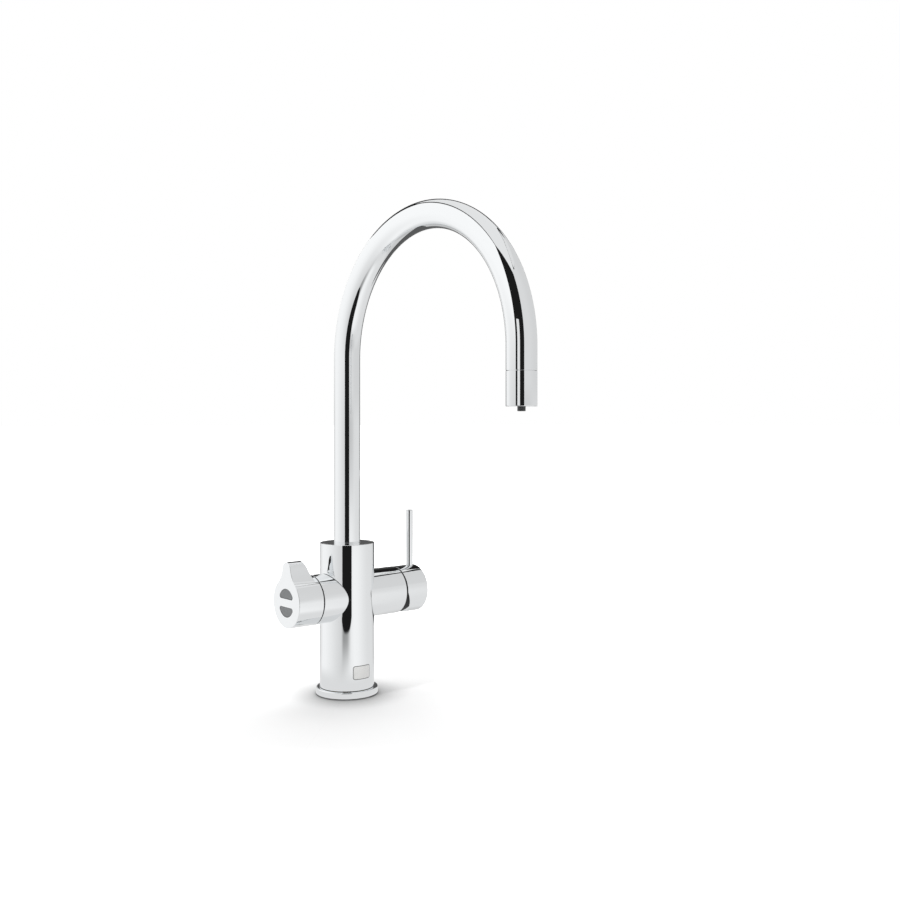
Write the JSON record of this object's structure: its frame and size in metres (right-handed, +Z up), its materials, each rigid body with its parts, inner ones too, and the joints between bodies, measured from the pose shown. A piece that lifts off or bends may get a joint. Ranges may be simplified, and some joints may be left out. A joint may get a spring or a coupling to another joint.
{
  "type": "boiling water tap",
  "caption": "Single-column kitchen tap with a swivelling arched spout, a push-button lever unit for filtered water and a tilting, turning mixer handle, with its fixing kit",
  "frame": {"origin": "centre of the base ring's underside, on the worktop and on the column's axis", "axes": "+Z up along the column; the spout points to -Y at rest; the filtered-water lever is on -X and the mixer handle on +X"},
  "size_m": [0.1318, 0.2505, 0.4606],
  "materials": {
    "chrome": "polished chrome plate on brass",
    "brass": "machined, unplated",
    "steel": "zinc-plated",
    "rubber": "matt black",
    "black_plastic": "satin black",
    "white_plastic": "satin white",
    "grey_plastic": "satin dark grey",
    "button_plastic": "smooth mid grey",
    "board": "green solder mask",
    "magnet": "sintered grey"
  },
  "bodies": {
    "column": {"base_ring": "chrome", "base_gasket": "rubber", "column_shell": "chrome", "column_cap": "chrome", "valve_body": "brass", "cable_grommet": "rubber", "spout_stop_screw": "steel", "mounting_stud": "steel", "clamp_washer": "rubber", "clamp_plate": "steel", "clamp_nut": "brass", "lever_collar": "chrome", "lever_cup": "brass", "sensor_board": "board", "lever_bush": "white_plastic", "mixer_housing": "chrome", "cartridge_cup": "brass", "cartridge_seal": "rubber", "cartridge_body": "white_plastic", "cartridge_nut": "brass", "mixer_dome": "black_plastic"},
    "spout": {"spout_tube": "chrome", "spout_spigot": "brass", "lower_guide_ring": "white_plastic", "lower_spigot_o_ring": "rubber", "upper_spigot_o_ring": "rubber", "upper_guide_ring": "white_plastic", "nozzle_shell": "chrome", "nozzle_insert": "grey_plastic", "boiling_outlet": "grey_plastic", "boiling_tube": "white_plastic", "chilled_tube": "white_plastic"},
    "lever": {"lever_spindle": "brass", "spindle_circlip": "steel", "sensor_magnet": "magnet", "lever_knob": "chrome", "knob_core": "black_plastic", "button_board": "board", "button_mat": "rubber", "knob_grub_screw": "steel"},
    "upper_button": {"upper_button": "button_plastic"},
    "lower_button": {"lower_button": "button_plastic"},
    "mixer_rotor": {"cartridge_rotor": "white_plastic", "stem_pivot_pin": "steel"},
    "mixer_handle": {"cartridge_stem": "steel", "mixer_cap": "chrome", "pin_lever": "chrome", "cap_grub_screw": "steel"}
  },
  "joints": [
    {"name": "spout_swivel", "type": "hinge", "parent": "column", "child": "spout", "pos_m": [0, 0, 0.113], "axis": [0, 0, 1], "range_deg": [-90, 90]},
    {"name": "lever_turn", "type": "hinge", "parent": "column", "child": "lever", "pos_m": [-0.048, 0, 0.0824], "axis": [1, 0, 0], "range_deg": [-30, 30]},
    {"name": "upper_button_press", "type": "slide", "parent": "lever", "child": "upper_button", "axis": [1, 0, 0], "range_m": [0, 0.0008], "stiffness_N_per_m": 500, "springref_m": -0.001},
    {"name": "lower_button_press", "type": "slide", "parent": "lever", "child": "lower_button", "axis": [1, 0, 0], "range_m": [0, 0.0008], "stiffness_N_per_m": 500, "springref_m": -0.001},
    {"name": "mixer_turn", "type": "hinge", "parent": "column", "child": "mixer_rotor", "pos_m": [0.0494, 0, 0.0824], "axis": [1, 0, 0], "range_deg": [-50, 50]},
    {"name": "mixer_tilt", "type": "hinge", "parent": "mixer_rotor", "child": "mixer_handle", "pos_m": [0.0494, 0, 0.0824], "axis": [0, 1, 0], "range_deg": [0, 18.5]}
  ]
}
